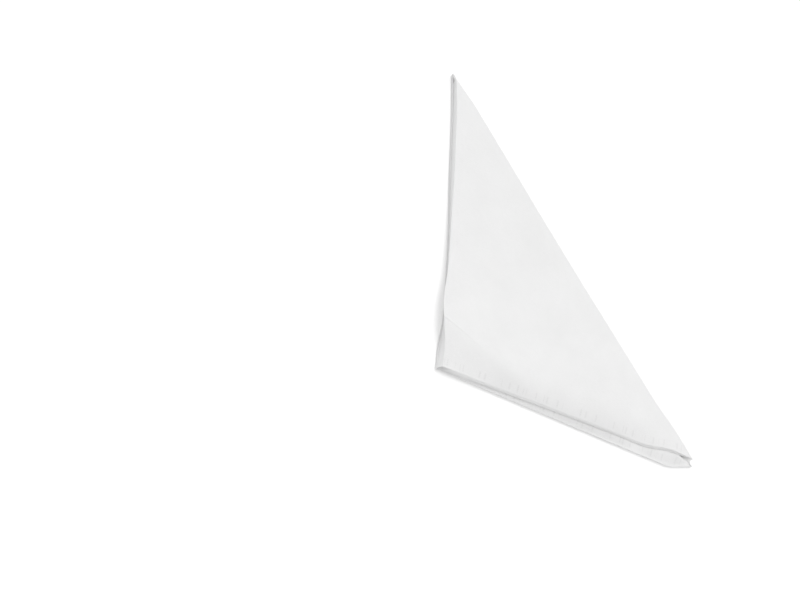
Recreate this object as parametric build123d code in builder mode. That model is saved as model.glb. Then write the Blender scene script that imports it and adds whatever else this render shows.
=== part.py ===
from build123d import *
import math
import os

# A paper napkin: one square sheet, folded in half twice into a smaller square of four layers, and
# that square folded once more along its diagonal. It lies on its back leaf, with +Z up. The front
# leaf springs open from its folded edge, which runs along Y, towards the loose tip at the +X end.

# Driving dimensions, in millimetres
sheet_side = 330.0  # the napkin spread out, along each side
paper = 0.20  # one thickness of the sheet, two plies of tissue
slack = 0.12  # air between neighbouring layers
heel_gap = 1.2  # space between the two leaves at the folded edge
corner_gap = 0.2  # space left between them at the square corner, where the front leaf is bent down
tip_rise = 1.6  # how much higher the front leaf is at the tip than at the folded edge
crease_up_edge = 27.0  # soft crease over the square corner, measured up the folded edge
crease_along_edge = 62.0  # the same crease, measured along the open edges
crease_radius = 1.0  # how tightly the lower face of the front leaf bends at that crease
fold_sectors = 8  # narrow strips that the round of the diagonal fold is made up of

# Sizes that follow from these
square = sheet_side / 2
pitch = paper + slack
pair = 2 * paper + slack
leaf = 4 * paper + 3 * slack

# The front leaf's plane: level along Y, rising along X
slope = tip_rise / square
tilt = math.degrees(math.atan(slope))
front_along = Vector(1, 0, 0).rotate(Axis.Y, -tilt)
front_normal = Vector(0, 0, 1).rotate(Axis.Y, -tilt)
front_middle = leaf + heel_gap + leaf / 2
front_top = front_middle + leaf / 2 / front_normal.Z

# The diagonal fold is a slender half cone, tangent to both leaves. The cone's point lies far beyond
# the sharp end of the napkin, where the planes of the two leaves would meet.
reach = front_top / slope
cone_rise = math.tan(math.radians(tilt / 2))
cone_angle = math.degrees(math.atan(cone_rise * math.cos(math.radians(45))))
cone_point = Vector(-reach, square + reach, 0)
fold_heading = Vector(1, 0, 0).rotate(Axis.Z, -45 - cone_angle)
fold_axis = Axis(cone_point, fold_heading + Vector(0, 0, fold_heading.X * cone_rise))

# Where the flat of each leaf passes into the fold, and the turn from one to the other
back_joint = Plane(cone_point, x_dir=fold_heading, z_dir=fold_axis.direction.cross(Vector(0, 0, 1)))
front_joint = Plane(cone_point, x_dir=fold_axis.direction, z_dir=fold_axis.direction.cross(front_normal))
fold_turn = 180 + back_joint.z_dir.get_angle(front_joint.z_dir)

# The cone is made longer than the fold, so that its ends can be cut along the napkin's edges
cone_start = reach / fold_heading.X - 2 * leaf
cone_end = (square + reach) / -fold_heading.Y + front_top + tip_rise


def doubled_sheet(middle, bend, turn_at):
    """Section of a sheet laid back on itself round a bend, open towards +X."""
    with BuildLine() as centre_line:
        Line((square, middle + bend), (turn_at, middle + bend))
        ThreePointArc((turn_at, middle + bend), (turn_at - bend, middle), (turn_at, middle - bend))
        Line((turn_at, middle - bend), (square, middle - bend))
    trace(centre_line.line, line_width=paper)


# Back leaf, flat on the ground: two doubled sheets, one on the other
back_section = Plane((0, square, leaf / 2), x_dir=(1, 0, 0), z_dir=(0, -1, 0))
with BuildPart() as back_leaf:
    with BuildSketch(back_section):
        for middle in (-pitch, pitch):
            doubled_sheet(middle, pitch / 2, pair / 2)
    extrude(amount=square)
    split(bisect_by=back_joint, keep=Keep.TOP)

# Front leaf: one doubled sheet wrapped round another
front_section = Plane((0, square, front_middle), x_dir=front_along, z_dir=(0, -1, 0))
with BuildPart() as front_leaf:
    with BuildSketch(front_section):
        for bend in (pitch / 2, 3 * pitch / 2):
            doubled_sheet(0, bend, leaf / 2)
    extrude(amount=square)
    split(bisect_by=front_joint, keep=Keep.TOP)

# Soft crease that bends the square corner of the front leaf down
crease_start = Vector(0, crease_up_edge, front_top)
crease_end = Vector(crease_along_edge, 0, front_top + crease_along_edge * slope)
crease_heading = crease_end - crease_start
crease_plane = Plane(crease_start, x_dir=crease_heading, z_dir=crease_heading.cross(front_normal))
crease_axis = Axis(crease_start - front_normal * (leaf + crease_radius), crease_heading)
corner_reach = crease_up_edge * crease_along_edge / math.hypot(crease_up_edge, crease_along_edge)
corner_bend = math.degrees(math.asin((heel_gap - corner_gap) / corner_reach))

with BuildPart() as corner:
    add(front_leaf.part)
    split(bisect_by=crease_plane, keep=Keep.TOP)

with BuildPart() as bent_leaf:
    add(front_leaf.part)
    split(bisect_by=crease_plane, keep=Keep.BOTTOM)
    cut_faces = bent_leaf.faces().filter_by(crease_plane)
    revolve(cut_faces, axis=crease_axis, revolution_arc=corner_bend)
    add(corner.part.rotate(crease_axis, corner_bend))

# One sector of the half cone, with its four layers round the outside of one another
sector_turn = fold_turn / fold_sectors
with BuildPart() as sector:
    with BuildSketch(back_joint):
        for layer in range(4):
            with Locations((cone_start, layer * pitch)):
                Rectangle(cone_end - cone_start, paper, align=Align.MIN)
    revolve(axis=fold_axis, revolution_arc=sector_turn)

# Diagonal fold: sectors side by side, each with faces of its own, cut off along the napkin's edges
with BuildPart() as diagonal_fold:
    for turn in range(fold_sectors):
        add(sector.part.rotate(fold_axis, turn * sector_turn), clean=False)
    split(bisect_by=Plane.YZ, keep=Keep.TOP)
    split(bisect_by=Plane.XZ, keep=Keep.BOTTOM)

# The whole napkin, with its origin under the middle of the square
with BuildPart() as napkin:
    with Locations((-square / 2, -square / 2, 0)):
        add(back_leaf.part, clean=False)
        add(diagonal_fold.part, clean=False)
        add(bent_leaf.part, clean=False)
napkin.part.label = "napkin"

os.makedirs("parts", exist_ok=True)
export_step(napkin.part, "parts/napkin.step")
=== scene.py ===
import math

import bpy
import numpy as np
from mathutils import Matrix, Vector


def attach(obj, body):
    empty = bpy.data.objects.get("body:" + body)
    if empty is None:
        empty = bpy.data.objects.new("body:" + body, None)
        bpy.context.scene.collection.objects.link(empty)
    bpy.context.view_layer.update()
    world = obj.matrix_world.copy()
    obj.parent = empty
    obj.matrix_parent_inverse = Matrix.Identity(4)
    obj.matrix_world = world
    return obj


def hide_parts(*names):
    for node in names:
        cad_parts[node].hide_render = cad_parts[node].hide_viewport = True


# A paper napkin: a square sheet folded in half twice and then along the diagonal. It lies on its back
# leaf. The sheet is built as one thin folded surface, layer by layer, in millimetres, with the square
# corner of the folded triangle at the origin, the open edges along X and the folded edge along Y. The
# diagonal fold runs from the sharp end, on Y, to the loose tip, on X.

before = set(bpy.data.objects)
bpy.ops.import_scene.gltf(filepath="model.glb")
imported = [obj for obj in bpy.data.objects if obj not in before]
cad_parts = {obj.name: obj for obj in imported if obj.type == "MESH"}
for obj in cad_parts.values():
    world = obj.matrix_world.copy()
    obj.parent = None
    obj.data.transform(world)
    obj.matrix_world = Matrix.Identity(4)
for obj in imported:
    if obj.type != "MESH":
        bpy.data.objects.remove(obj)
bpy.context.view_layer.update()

# Sizes of the sheet
MM = 0.001
SHEET = 330.0  # side of the sheet, spread out
SIDE = SHEET / 2  # short sides of the folded triangle
LONG = SIDE * math.sqrt(2)  # long side, along the diagonal fold
LAYERS = 4  # layers in each leaf
PAPER = 0.20  # one thickness of the sheet
PITCH = 0.32  # from one layer to the next
STACK = (LAYERS - 1) * PITCH  # from the first layer of a leaf to the last
LEAF = STACK + PAPER

# How finely the surface is divided
HALF_ROWS = 70  # rows from the middle of the diagonal fold to each end
FLAT_COLUMNS = 31  # columns across the flat of each leaf
FOLD_COLUMNS = 8  # columns round each half of the diagonal fold
BEND_STEPS = 6  # steps round a bend at the folded edge


# Small smooth functions that the shape is put together from
def mix(start, end, share):
    """From start, at a share of 0, to end, at a share of 1."""
    return start + (end - start) * share


def ramp(value, low, high):
    """Rises smoothly from 0 at low to 1 at high."""
    t = np.clip((value - low) / (high - low), 0.0, 1.0)
    return t * t * (3.0 - 2.0 * t)


def bump(value, centre, width):
    """A smooth hump, 1 high at its centre."""
    return np.exp(-(((value - centre) / width) ** 2))


def soft_fade(distance, length):
    """Falls from 1 at a distance of 0, slowly at first."""
    return bump(np.maximum(distance, 0.0), 0.0, length)


def quick_fade(distance, length):
    """Falls from 1 at a distance of 0, quickly at first."""
    return np.exp(-np.maximum(distance, 0.0) / length)


def beyond(value, softness):
    """The value where it is above 0, and 0 below, with a soft bend between."""
    return softness * np.logaddexp(0.0, value / softness)


# Height of the front leaf's upper face
HEEL_HEIGHT = 2.75  # at the folded edge
SPRING_RISE = 4.2  # what it would gain by the tip, as the leaf springs open
SLOPE = SPRING_RISE / SIDE
TIP_PRESS, PRESS_START = 0.85, 100.0  # share of that which it loses again, and from where on
TIP_HEIGHT, TIP_START = 2.5, 150.0  # height that the tip itself is pressed to, and from where on
APEX_RISE, APEX_FROM, APEX_FULL = 0.45, 60.0, 130.0  # it rises a little towards the sharp end
WIDE_WAVE, SMALL_WAVE = 0.22, 0.07  # heights of the slight waves

# Soft crease over the square corner
CREASE_UP, CREASE_ALONG = 25.5, 62.0  # where it meets the folded edge and the open edge
CREASE_LENGTH = math.hypot(CREASE_UP, CREASE_ALONG)
CREASE_REACH = CREASE_UP * CREASE_ALONG / CREASE_LENGTH  # from the square corner to the crease
CREASE_SOFTNESS = 0.4
CREST = 2.4  # the leaf stands this much higher at the crease
CREST_FADE = 20.0  # how far into the leaf that is felt
CREST_FALL = 0.85  # share of it that is lost again towards the square corner

# Open edge of the front leaf, and a hollow beside its folded edge
EDGE_LEVEL = 2.9  # height of the open edge at the square corner
EDGE_RISE, RISE_FROM, RISE_FULL = 0.5, 30.0, 110.0  # what it gains on its way
EDGE_FLARE, FLARE_FROM, FLARE_FULL = 0.5, 130.0, 152.0  # and once more near the tip
DROOP_WIDTH = 16.0  # how far in from the open edge the leaf starts to droop to it
DENT_DEPTH, DENT_X, DENT_WIDTH = 0.85, 127.0, 7.0  # dent in the open edge
HOLLOW, HOLLOW_Y, HOLLOW_WIDTH = 0.8, 55.0, 32.0  # slight hollow, its place and width along the edge
HOLLOW_X, HOLLOW_END = 30.0, 90.0  # how far in it is deepest, and ends


def crest(x, y):
    """Extra height along the crease over the square corner, falling off to both sides."""
    inside = CREASE_REACH - (x * CREASE_UP + y * CREASE_ALONG) / CREASE_LENGTH
    into_leaf = np.exp(-beyond(-inside, CREASE_SOFTNESS) / CREST_FADE)
    to_corner = 1.0 - CREST_FALL * beyond(inside, CREASE_SOFTNESS) / CREASE_REACH
    return CREST * into_leaf * to_corner


def waves(x, y):
    """Slight unevenness of the soft paper, in wide waves and small ones that hardly repeat."""
    wide = np.sin(x / 23.0 + y / 41.0 + 0.7) * np.sin(y / 31.0 - x / 57.0)
    small = np.sin(x / 9.0 - y / 13.0) * np.sin(y / 11.0 + x / 17.0 + 1.1)
    return WIDE_WAVE * wide + SMALL_WAVE * small


def front_height(x, y):
    """Height of the front leaf's upper face."""
    spring = SLOPE * x * (1.0 - TIP_PRESS * ramp(x, PRESS_START, SIDE))
    height = HEEL_HEIGHT + spring + APEX_RISE * ramp(y, APEX_FROM, APEX_FULL) + crest(x, y)

    edge_rise = EDGE_RISE * ramp(x, RISE_FROM, RISE_FULL)
    edge_flare = EDGE_FLARE * ramp(x, FLARE_FROM, FLARE_FULL)
    droop = np.clip(1.0 - y / DROOP_WIDTH, 0.0, 1.0) ** 2
    height = mix(height, EDGE_LEVEL + edge_rise + edge_flare, droop)
    height = mix(height, TIP_HEIGHT, ramp(x, TIP_START, SIDE))

    beside = ramp(x, 0.0, HOLLOW_X) * (1.0 - ramp(x, HOLLOW_X, HOLLOW_END))
    height = height - HOLLOW * bump(y, HOLLOW_Y, HOLLOW_WIDTH) * beside
    height = height - DENT_DEPTH * bump(np.hypot(x - DENT_X, y), 0.0, DENT_WIDTH)
    return height + waves(x, y)


# Open edges, which do not lie quite true
EDGE_FADE = 32.0  # how far in from an edge its shift is felt
FRONT_SHIFT, FRONT_SKEW = 2.7, 0.012  # the front leaf's is drawn in, and less so along its way
FRONT_DRAW, DRAW_FROM, DRAW_FULL = 2.1, 133.0, 150.0  # but more again near the tip
BACK_SHIFT, BACK_SKEW = 2.0, 0.047  # the back leaf's is drawn in at the corner, and soon stands out
BACK_DRAW, BACK_DRAW_FROM, BACK_DRAW_SOFTNESS = 0.34, 149.0, 1.0  # and turns in at the tip
CUT_FADE = 5.0  # how far in the layers are stepped and pressed together
EDGE_PRESS = 0.3  # share of their usual distance that they lose at the edge
FRONT_STEP, BACK_STEP = 0.3, 0.15  # each layer's edge stands this far past the one outside it
STEP_END, STEP_FULL = 2.0, 12.0  # how near to the tip the steps end, and how far off they are full

# Folded edges
FOLDED_DRAW = 1.3  # they are drawn in half way up
FOLD_FADE = 12.0  # how far in from the edge the shifts below are felt
EDGE_FACET = 0.8  # towards the sharp end the outer layer starts its bend round the edge this far in
FACET_FROM, FACET_FULL = 60.0, 110.0  # places up the edge where that starts and is full
CORNER_FACET = 1.2  # at the square corner the outer layer starts its bend this far in
CORNER_OUT = 0.8  # and the inner layers and the back leaf stand out this far
CORNER_FULL = 6.0  # in full up to this place on the edge, and less and less from there to the crease
INNER_TUCK, BACK_TUCK = 1.0, 1.5  # half way up, the inner layers and the back leaf are tucked in
TUCK_FROM, TUCK_FULL = 10.0, 30.0  # places up the edge where that starts and is full
CREST_OUT, CREST_OUT_Y, CREST_OUT_WIDTH = 2.6, 33.0, 16.0  # the outer layer hangs over near the crease

# Space between the leaves
CLEARANCE = 0.08  # air that is left at least
HEEL_SPREAD = 4.0  # how far in from the folded edge the front leaf fills the space over the back leaf
STRIP_LEAST = 1.0  # least width over which the back leaf's upper layers rise to the front leaf's edge
PUFF_FULL = 2.5  # how far from the fold they do so in full
FLAT_FROM = 0.75  # share of the fold's quarter turn at which it starts to pass into the leaves

# Loose tip and sharp end
FRONT_REACH, BACK_REACH = 6.2, 7.5  # the tips of the two leaves are drawn out this far
REACH_START, REACH_FADE = 0.5, 25.0  # from this share of the long side on, and this far in
TIP_NOTCH, NOTCH_LENGTH = 2.6, 5.0  # the nose of the fold is drawn back between them
APEX_BACK, APEX_FRONT, APEX_OUT = 2.4, 2.2, 0.6  # the leaves part a little at the sharp end
APEX_LENGTH = 12.0  # over this length of the fold


def front_edge_shift(x):
    """Sideways shift of the front leaf's open edge."""
    return FRONT_SHIFT - FRONT_SKEW * x + FRONT_DRAW * ramp(x, DRAW_FROM, DRAW_FULL)


def back_edge_shift(x):
    """Sideways shift of the back leaf's open edge."""
    return BACK_SHIFT - BACK_SKEW * x + BACK_DRAW * beyond(x - BACK_DRAW_FROM, BACK_DRAW_SOFTNESS)


def folded_edge_shift(y):
    """Sideways shift of the folded edges."""
    return FOLDED_DRAW * np.sin(np.pi * np.clip(y, 0.0, SIDE) / SIDE)


def squeeze(y):
    """Distance between the layers, as a share of what it is away from the open edge."""
    return 1.0 - EDGE_PRESS * quick_fade(y, CUT_FADE)


# Rows along the diagonal fold, closer together towards both ends
END_CLOSENESS = 1.3
END_START = 0.4  # from the end of the fold to the nearest row
steps = np.linspace(0.0, 1.0, HALF_ROWS + 1)
from_end = END_START + (LONG / 2 - END_START) * (1.0 - steps) ** END_CLOSENESS
rows = np.concatenate([from_end[::-1], LONG - from_end[1:]])

# Columns from the back leaf's edge, round the fold, to the front leaf's edge, closer together towards
# the edges. Each is a share of the fold's quarter turn, up to 1, and then of the flat leaf, from 1 to 2.
quarter = np.linspace(0.0, 1.0, FOLD_COLUMNS + 1)
even = np.linspace(0.0, 1.0, FLAT_COLUMNS + 1)[1:]
flat_part = 1.0 + mix(even, np.sin(np.pi / 2 * even), 0.5)
one_side = np.concatenate([quarter, flat_part])
columns = np.concatenate([-one_side[:0:-1], one_side])

OUTWARD = np.array([1.0, 1.0]) / math.sqrt(2)  # away from the leaves, across the fold
ALONG = np.array([1.0, -1.0]) / math.sqrt(2)  # along the fold, from the sharp end to the tip
SHARP_END = np.array([0.0, SIDE])

# Radius of the fold on each row, brought step by step to half the front leaf's height there
RADIUS_PASSES = 6
fold_radius = np.full(rows.shape, HEEL_HEIGHT / 2)
for _ in range(RADIUS_PASSES):
    joint = SHARP_END + rows[:, None] * ALONG - fold_radius[:, None] * OUTWARD
    fold_radius = front_height(joint[:, 0], joint[:, 1]) / 2

# Each row is cut off by the short sides of the triangle, near its ends already within the fold
LEAST_LEG = 0.05  # no row is cut shorter than this
row = rows[:, None]
radius = fold_radius[:, None]
column_share = np.abs(columns)[None, :]
front = columns[None, :] > 0
sign = np.where(front, 1.0, -1.0)
folded_edge_inset = np.where(front, LEAF / 2, (PITCH + PAPER) / 2)
leg = np.where(row < LONG / 2, row - folded_edge_inset, LONG - row)
leg = np.maximum(leg, LEAST_LEG)
flat_leg = np.maximum(leg - radius, 0.0)
last_turn = np.arccos(np.clip(1.0 - leg / radius, 0.0, 1.0))
turn = np.minimum(column_share, 1.0) * last_turn
beyond_fold = np.clip(column_share - 1.0, 0.0, 1.0) * flat_leg
to_back = (1.0 - sign * np.sin(turn)) / 2  # from 0 on the front leaf, round the fold, to 1 on the back leaf

# Places on the flat sheet, whose middle comes to the sharp end
full_leg = np.minimum(row, LONG - row)
out = sign * full_leg * (radius * turn + beyond_fold) / (radius * last_turn + flat_leg)
sheet_places = np.stack([row - out, row + out], axis=-1) / math.sqrt(2)


def plain_layer(layer):
    """A layer that lies true: a half circle round the fold, and straight on from there."""
    bend = radius - PAPER / 2 - layer * PITCH
    inward = radius - bend * np.cos(turn) + beyond_fold
    x = SHARP_END[0] + row * ALONG[0] - inward * OUTWARD[0]
    y = SHARP_END[1] + row * ALONG[1] - inward * OUTWARD[1]
    return x, y, radius + sign * bend * np.sin(turn)


def layer_height(layer, x, y, fold_z):
    """Height of a layer, which passes from that of the fold to those of the two leaves."""
    share = layer / (LAYERS - 1)
    near_heel = soft_fade(x, HEEL_SPREAD)
    pressed_depth = PAPER / 2 + layer * PITCH * squeeze(y)

    # The front leaf's layers lie under its upper face, and spread over the back leaf at the folded edge
    front_top = front_height(x, y)
    heel_room = front_top - PAPER - STACK * squeeze(y) - CLEARANCE
    heel_z = front_top - PAPER / 2 - share * (heel_room - PAPER)
    front_z = mix(front_top - pressed_depth, heel_z, near_heel)

    # The back leaf lies on the ground, and its slack upper layers rise towards the front leaf's edge
    strip_width = np.maximum(front_edge_shift(x) - back_edge_shift(x), STRIP_LEAST)
    under_y = np.maximum(y - strip_width * soft_fade(y, EDGE_FADE), 0.0)
    both_leaves = 2 * PAPER + STACK * (squeeze(y) + squeeze(under_y))
    gap = np.maximum(front_height(x, under_y) - both_leaves - CLEARANCE, 0.0)
    puffed = ramp(y / strip_width, 0.0, 1.0) * ramp(beyond_fold, 0.0, PUFF_FULL) * (1.0 - near_heel)
    back_z = pressed_depth + gap * share * puffed

    on_flat = ramp(turn, FLAT_FROM * np.pi / 2, np.pi / 2)
    return mix(fold_z, np.where(front, front_z, back_z), on_flat)


def layer_shift(layer, x, y):
    """Sideways shifts of a layer, along X and along Y."""
    share = layer / (LAYERS - 1)
    near_apex = bump(row, 0.0, APEX_LENGTH)

    # Open edges
    open_shift = mix(front_edge_shift(x), back_edge_shift(x), to_back) * soft_fade(y, EDGE_FADE)
    step = layer * mix(FRONT_STEP, BACK_STEP, to_back) * quick_fade(y, CUT_FADE)
    step = step * ramp(SIDE - x, STEP_END, STEP_FULL)

    # Folded edges
    near_corner = 1.0 - ramp(y, CORNER_FULL, CREASE_UP)
    upper_half = ramp(y, FACET_FROM, FACET_FULL)
    half_way = ramp(y, TUCK_FROM, TUCK_FULL) * (1.0 - upper_half)
    outer = EDGE_FACET * upper_half * (1.0 - near_apex) + CORNER_FACET * near_corner
    outer = outer - CREST_OUT * bump(y, CREST_OUT_Y, CREST_OUT_WIDTH)
    inner = INNER_TUCK * half_way - CORNER_OUT * near_corner
    back = BACK_TUCK * half_way - CORNER_OUT * near_corner
    folded_shift = np.where(front, mix(outer, inner, share), back) * quick_fade(x, FOLD_FADE)
    folded_shift = folded_shift + folded_edge_shift(y) * soft_fade(x, EDGE_FADE)

    # Loose tip and sharp end
    drawn_out = np.maximum(row / LONG - REACH_START, 0.0) / (1.0 - REACH_START)
    reach = mix(FRONT_REACH, BACK_REACH, to_back) * drawn_out ** 2 * quick_fade(beyond_fold, REACH_FADE)
    notch = TIP_NOTCH * bump(row, LONG, NOTCH_LENGTH) * np.cos(turn) ** 2
    parted = mix(-APEX_FRONT, APEX_BACK, to_back) * near_apex

    shift_x = folded_shift + reach - notch - APEX_OUT * to_back * near_apex
    shift_y = open_shift - step + parted
    return shift_x, shift_y


def layer_points(layer):
    """Points of one layer's middle surface."""
    x, y, fold_z = plain_layer(layer)
    shift_x, shift_y = layer_shift(layer, x, y)
    return np.stack([x + shift_x, y + shift_y, layer_height(layer, x, y, fold_z)], axis=-1)


# The four layers of the sheet, each a grid of points on both leaves
QUARTERS = [(1, 1), (1, -1), (-1, -1), (-1, 1)]  # which quarter of the flat sheet each layer is
row_count, column_count = len(rows), len(columns)
layer_size = row_count * column_count
vertices = []
flat_places = []
faces = []
grids = []
for layer in range(LAYERS):
    grid = layer * layer_size + np.arange(layer_size).reshape(row_count, column_count)
    quads = np.stack([grid[:-1, :-1], grid[:-1, 1:], grid[1:, 1:], grid[1:, :-1]], axis=-1)
    if layer % 2:
        quads = quads[..., ::-1]
    vertices.append(layer_points(layer).reshape(-1, 3))
    flat_places.append((sheet_places * QUARTERS[layer]).reshape(-1, 2))
    faces.append(quads.reshape(-1, 4))
    grids.append(grid)

# Bends that join the layers along the folded edges, from the sharp end to the square corner. Each has
# its outer and inner layer, the column of the edge, and how far it stands out at most.
BENDS = [(0, 3, -1, 0.4), (1, 2, -1, 0.1), (0, 1, 0, 0.4), (2, 3, 0, 0.4)]
edge_rows = HALF_ROWS + 1
layered = np.concatenate(vertices)
layered_places = np.concatenate(flat_places)
next_vertex = len(layered)
for outer_layer, inner_layer, column, most in BENDS:
    first = grids[outer_layer][:edge_rows, column]
    last = grids[inner_layer][:edge_rows, column]
    across = layered[last] - layered[first]
    rise = across[:, 2]
    outward = np.stack([-np.abs(rise), np.zeros_like(rise), -np.sign(rise) * across[:, 0]], axis=-1)
    outward = outward / np.linalg.norm(outward, axis=1, keepdims=True)
    bulge = outward * np.minimum(np.abs(rise) / 2, most)[:, None]
    strip = [first]
    for bend_step in range(1, BEND_STEPS):
        part = bend_step / BEND_STEPS
        arch = 4.0 * part * (1.0 - part)  # 0 at both layers and 1 half way between
        vertices.append(layered[first] + across * part + bulge * arch)
        flat_places.append(layered_places[first])
        strip.append(next_vertex + np.arange(edge_rows))
        next_vertex += edge_rows
    strip.append(last)
    for here, there in zip(strip[:-1], strip[1:]):
        quads = np.stack([here[:-1], there[:-1], there[1:], here[1:]], axis=-1)
        if (column == 0) != (outer_layer % 2 == 1):
            quads = quads[:, ::-1]
        faces.append(quads)

# The surface as a mesh in metres, with the frame's origin under the middle of the square
middle = np.array([SIDE / 2, SIDE / 2, 0.0])
all_points = (np.concatenate(vertices) - middle) * MM
all_places = np.concatenate(flat_places)
surface = bpy.data.meshes.new("napkin_surface")
surface.from_pydata(all_points.tolist(), [], np.concatenate(faces).tolist())
uv_layer = surface.uv_layers.new(name="flat_sheet")
corner_vertex = np.zeros(len(surface.loops), dtype=np.int32)
surface.loops.foreach_get("vertex_index", corner_vertex)
uv_layer.data.foreach_set("uv", (all_places[corner_vertex] / SHEET + 0.5).ravel())
surface.update()

# The paper's thickness
SHARP_ANGLE = 30.0  # edges that are bent more than this, in degrees, are shaded sharp
napkin = bpy.data.objects.new("paper_napkin", surface)
bpy.context.scene.collection.objects.link(napkin)
thickness = napkin.modifiers.new("paper", "SOLIDIFY")
thickness.thickness = PAPER * MM
thickness.offset = 0.0
shaped = napkin.evaluated_get(bpy.context.evaluated_depsgraph_get())
napkin.data = bpy.data.meshes.new_from_object(shaped)
napkin.modifiers.clear()
napkin.data.shade_smooth()
napkin.data.set_sharp_from_angle(angle=math.radians(SHARP_ANGLE))


# Helpers for materials
def grey(level):
    """A colour without hue."""
    return (level, level, level, 1.0)


def feed(tree, socket, value):
    """Links another node's socket to this one, or sets a plain value on it."""
    if isinstance(value, bpy.types.NodeSocket):
        tree.links.new(value, socket)
    else:
        socket.default_value = value


def add_node(tree, kind, **inputs):
    """A node of that kind, whose inputs are named as its sockets are."""
    made = tree.nodes.new(kind)
    for name, value in inputs.items():
        feed(tree, made.inputs[name], value)
    return made


def math_node(tree, operation, first, second=0.0, clamp=False):
    """The result of a sum, kept between 0 and 1 if it is clamped."""
    made = tree.nodes.new("ShaderNodeMath")
    made.operation = operation
    made.use_clamp = clamp
    feed(tree, made.inputs[0], first)
    feed(tree, made.inputs[1], second)
    return made.outputs[0]


def noise(tree, place, scale, detail, roughness):
    """Soft noise, with a scale of its own along each side of the sheet."""
    stretched = add_node(tree, "ShaderNodeMapping", Vector=place, Scale=scale)
    made = add_node(tree, "ShaderNodeTexNoise", Vector=stretched.outputs["Vector"], Scale=1.0,
                    Detail=detail, Roughness=roughness)
    return made.outputs["Fac"]


def seen_in_picture(tree):
    """1 for rays that show this in the picture, also mirrored or through glass, and 0 for its light."""
    ray = tree.nodes.new("ShaderNodeLightPath").outputs
    mirrored_or_through = math_node(tree, "MAXIMUM", ray["Is Glossy Ray"], ray["Is Transmission Ray"])
    return math_node(tree, "MAXIMUM", ray["Is Camera Ray"], mirrored_or_through)


# Material of the tissue, with the noise's scales per millimetre of the flat sheet
CLOUD_SCALE = (0.045, 0.045, 0.045)
FIBRE_SCALE = (0.55, 2.2, 1.0)
CREPE_SCALE = (0.35, 1.9, 1.0)
DIMPLE_SCALE, DIMPLE_HEIGHT = 0.55, 0.35
CLOUD_SHARE = 0.6  # of the tone, the rest being fibres
DARK_TONE, LIGHT_TONE = 0.885, 0.938  # darkest and lightest paper
DARK_FROM, LIGHT_FROM = 0.3, 0.7  # noise that gives them
TICK_SHADE_TONE = 0.84  # painted shade in the pressed ticks
BUMP_STRENGTH, BUMP_DISTANCE = 0.35, 0.22 * MM

# Short uneven ticks pressed into the border to hold the plies together
TICK_FROM, TICK_TO = 0.8, 4.4  # how far in from the cut edge they reach
TICK_ENDS = 0.4  # length over which they fade out at both ends
TICK_SPACING = 1.7
TICK_SHARE, TICK_STEEPNESS = 0.61, 14.0  # the noise above this is a tick, and how steep its sides are
DOT_PITCH, DOT_DEPTH = 0.8, 0.4  # each tick is a row of small pressed dots

# Thin ridge where the paper is broken at the crease, strongest at the folded edge
RIDGE_WIDTH, RIDGE_LENGTH, RIDGE_HEIGHT = 0.9, 30.0, 2.5


def border_ticks(tree, across, along):
    """How deep the border is pressed, beside the two cut edges that lie across this axis of the sheet."""
    inset = math_node(tree, "SUBTRACT", SIDE, math_node(tree, "ABSOLUTE", across))
    spread = tree.nodes.new("ShaderNodeTexNoise")
    spread.noise_dimensions = "1D"
    feed(tree, spread.inputs["W"], along)
    feed(tree, spread.inputs["Scale"], 1.0 / TICK_SPACING)
    feed(tree, spread.inputs["Detail"], 0.0)
    over = math_node(tree, "SUBTRACT", spread.outputs["Fac"], TICK_SHARE)
    tick = math_node(tree, "MULTIPLY", over, TICK_STEEPNESS, clamp=True)
    from_start = math_node(tree, "SUBTRACT", inset, TICK_FROM)
    to_end = math_node(tree, "SUBTRACT", TICK_TO, inset)
    for inside in (from_start, to_end):
        fading = math_node(tree, "DIVIDE", inside, TICK_ENDS, clamp=True)
        tick = math_node(tree, "MULTIPLY", tick, fading)
    dots = math_node(tree, "SINE", math_node(tree, "MULTIPLY", inset, 2.0 * math.pi / DOT_PITCH))
    dots = math_node(tree, "ADD", math_node(tree, "MULTIPLY", dots, DOT_DEPTH), 1.0 - DOT_DEPTH)
    return math_node(tree, "MULTIPLY", tick, dots)


def crease_ridge(tree, from_folded_edge, from_middle):
    """Height of the ridge along the crease, on the quarter of the sheet that is the outer layer."""
    from_open_edge = math_node(tree, "SUBTRACT", SIDE, from_middle)
    past_crease = math_node(tree, "ADD",
                            math_node(tree, "MULTIPLY", from_folded_edge, CREASE_UP / CREASE_LENGTH),
                            math_node(tree, "MULTIPLY", from_open_edge, CREASE_ALONG / CREASE_LENGTH))
    past_crease = math_node(tree, "SUBTRACT", past_crease, CREASE_REACH)
    off_ridge = math_node(tree, "DIVIDE", math_node(tree, "ABSOLUTE", past_crease), RIDGE_WIDTH)
    ridge = math_node(tree, "SUBTRACT", 1.0, off_ridge, clamp=True)
    spent = math_node(tree, "DIVIDE", from_folded_edge, RIDGE_LENGTH)
    left_over = math_node(tree, "SUBTRACT", 1.0, spent, clamp=True)
    ridge = math_node(tree, "MULTIPLY", ridge, math_node(tree, "MULTIPLY", left_over, RIDGE_HEIGHT))
    return math_node(tree, "MULTIPLY", ridge, math_node(tree, "GREATER_THAN", from_folded_edge, 0.0))


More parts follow.
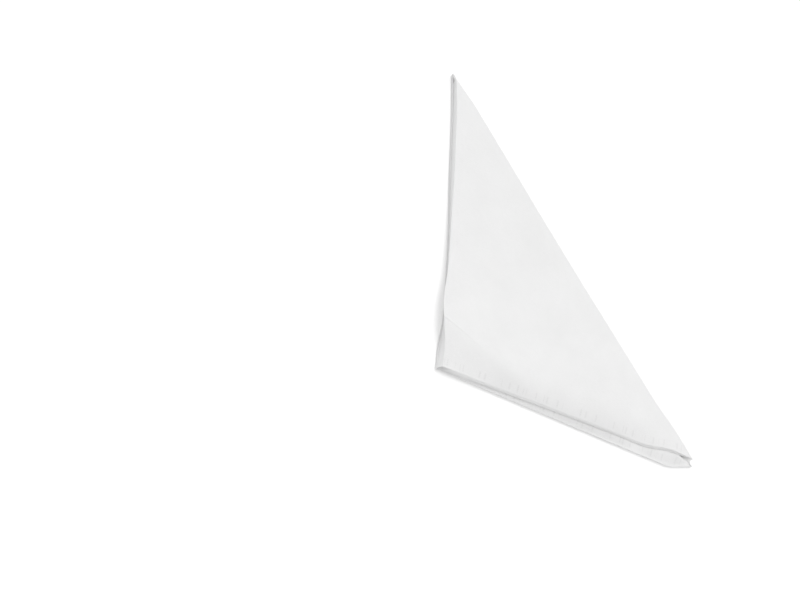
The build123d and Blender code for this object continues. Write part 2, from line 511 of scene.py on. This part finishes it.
def tissue_material():
    """White creped tissue, with its pattern laid out on the flat sheet."""
    tissue = bpy.data.materials.new("white_tissue")
    tissue.use_nodes = True
    tree = tissue.node_tree
    shader = tree.nodes["Principled BSDF"]

    # Places on the flat sheet, in millimetres from its middle
    sheet_uv = tree.nodes.new("ShaderNodeUVMap")
    sheet_uv.uv_map = "flat_sheet"
    centred = add_node(tree, "ShaderNodeMapping", Vector=sheet_uv.outputs["UV"],
                       Location=(-SIDE, -SIDE, 0.0), Scale=(SHEET, SHEET, 1.0))
    place = centred.outputs["Vector"]
    along_x, along_y, _ = add_node(tree, "ShaderNodeSeparateXYZ", Vector=place).outputs

    # Tone: faint cloudiness of the pulp and single fibres, and painted shade in the pressed ticks
    cloud = noise(tree, place, CLOUD_SCALE, detail=4.0, roughness=0.6)
    fibre = noise(tree, place, FIBRE_SCALE, detail=3.0, roughness=0.65)
    blend = math_node(tree, "ADD", math_node(tree, "MULTIPLY", cloud, CLOUD_SHARE),
                      math_node(tree, "MULTIPLY", fibre, 1.0 - CLOUD_SHARE))
    tone = add_node(tree, "ShaderNodeValToRGB", Fac=blend)
    darkest, lightest = tone.color_ramp.elements
    darkest.position = DARK_FROM
    darkest.color = grey(DARK_TONE)
    lightest.position = LIGHT_FROM
    lightest.color = grey(LIGHT_TONE)
    pressed = math_node(tree, "MAXIMUM", border_ticks(tree, across=along_x, along=along_y),
                        border_ticks(tree, across=along_y, along=along_x))
    # Painted shade: the ticks are darkened in the colour, standing in for the shade in their pressed
    # hollows
    tone_with_tick_shade = tree.nodes.new("ShaderNodeMix")
    tone_with_tick_shade.data_type = "RGBA"
    feed(tree, tone_with_tick_shade.inputs["Factor"], pressed)
    feed(tree, tone_with_tick_shade.inputs["A"], tone.outputs["Color"])
    feed(tree, tone_with_tick_shade.inputs["B"], grey(TICK_SHADE_TONE))
    feed(tree, shader.inputs["Base Color"], tone_with_tick_shade.outputs["Result"])

    # Relief: fine crepe ridges across the paper, dimples, ticks and the ridge at the crease
    crepe = noise(tree, place, CREPE_SCALE, detail=2.0, roughness=0.5)
    dimple = add_node(tree, "ShaderNodeTexVoronoi", Vector=place, Scale=DIMPLE_SCALE).outputs["Distance"]
    relief = math_node(tree, "ADD", crepe, math_node(tree, "MULTIPLY", dimple, DIMPLE_HEIGHT))
    relief = math_node(tree, "SUBTRACT", relief, pressed)
    relief = math_node(tree, "ADD", relief, crease_ridge(tree, along_x, along_y))
    surface_bump = add_node(tree, "ShaderNodeBump", Height=relief, Strength=BUMP_STRENGTH,
                            Distance=BUMP_DISTANCE)
    feed(tree, shader.inputs["Normal"], surface_bump.outputs["Normal"])

    shader.inputs["Roughness"].default_value = 0.92
    shader.inputs["Specular IOR Level"].default_value = 0.18
    shader.inputs["Sheen Weight"].default_value = 0.12
    shader.inputs["Sheen Roughness"].default_value = 0.6
    return tissue


napkin.data.materials.clear()
napkin.data.materials.append(tissue_material())

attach(napkin, "root")
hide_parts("napkin")

# Floor, white where the picture shows it, with the soft shadow of the napkin left on it. In metres.
FLOOR_HALF = 2.0  # half its side
FLOOR_DROP = 0.0002  # just clear of the paper
FLOOR_GREY = 0.86
FLOOR_GLOW = 0.28  # what lifts that grey to white in the picture


def floor_material():
    """Pale matt floor."""
    paint = bpy.data.materials.new("white_floor")
    paint.use_nodes = True
    tree = paint.node_tree
    shader = tree.nodes["Principled BSDF"]
    shader.inputs["Base Color"].default_value = grey(FLOOR_GREY)
    shader.inputs["Roughness"].default_value = 1.0
    shader.inputs["Specular IOR Level"].default_value = 0.0
    shader.inputs["Emission Color"].default_value = grey(1.0)
    glow = math_node(tree, "MULTIPLY", seen_in_picture(tree), FLOOR_GLOW)
    feed(tree, shader.inputs["Emission Strength"], glow)
    return paint


floor_corners = [(-FLOOR_HALF, -FLOOR_HALF), (FLOOR_HALF, -FLOOR_HALF),
                 (FLOOR_HALF, FLOOR_HALF), (-FLOOR_HALF, FLOOR_HALF)]
floor_mesh = bpy.data.meshes.new("floor")
floor_mesh.from_pydata([(x, y, -FLOOR_DROP) for x, y in floor_corners], [], [(0, 1, 2, 3)])
floor_mesh.materials.append(floor_material())
floor = bpy.data.objects.new("floor", floor_mesh)
bpy.context.scene.collection.objects.link(floor)

# Light: an even white surround, one large soft lamp from behind and a weaker one, low, from the front
WORLD_LIGHT = 0.515
LAMP_SPREAD = 50.0  # degrees
LAMPS = [("key_lamp", 1.6, (0.22, 0.63, 0.745)), ("fill_lamp", 0.6, (-0.45, -0.86, 0.25))]
world = bpy.data.worlds.new("studio")
bpy.context.scene.world = world
world.use_nodes = True
surround = world.node_tree.nodes["Background"]
surround.inputs["Color"].default_value = grey(1.0)
up_to_white = math_node(world.node_tree, "MULTIPLY", seen_in_picture(world.node_tree), 1.0 - WORLD_LIGHT)
strength = math_node(world.node_tree, "ADD", up_to_white, WORLD_LIGHT)
feed(world.node_tree, surround.inputs["Strength"], strength)
for name, energy, from_where in LAMPS:
    lamp_data = bpy.data.lights.new(name, "SUN")
    lamp_data.energy = energy
    lamp_data.angle = math.radians(LAMP_SPREAD)
    lamp = bpy.data.objects.new(name, lamp_data)
    lamp.rotation_euler = Vector(from_where).to_track_quat("Z", "Y").to_euler()
    bpy.context.scene.collection.objects.link(lamp)

# Camera, where the napkin is seen as in the photograph
EYE = Vector((-500.98, -377.19, 543.03)) * MM
LOOK_ALONG = Vector((0.52954, 0.43491, -0.72831))
IMAGE_UP = Vector((-0.30832, 0.89853, 0.31238))
camera_data = bpy.data.cameras.new("camera")
camera_data.lens = 72.0
camera_data.sensor_width = 36.0
camera_data.clip_start = 0.01
camera = bpy.data.objects.new("camera", camera_data)
camera_back = -LOOK_ALONG.normalized()
camera_right = IMAGE_UP.cross(camera_back).normalized()
camera_up = camera_back.cross(camera_right)
turned = Matrix((camera_right, camera_up, camera_back)).transposed()
camera.matrix_world = Matrix.Translation(EYE) @ turned.to_4x4()
bpy.context.scene.collection.objects.link(camera)
bpy.context.scene.camera = camera
bpy.context.scene.view_settings.view_transform = "Standard"
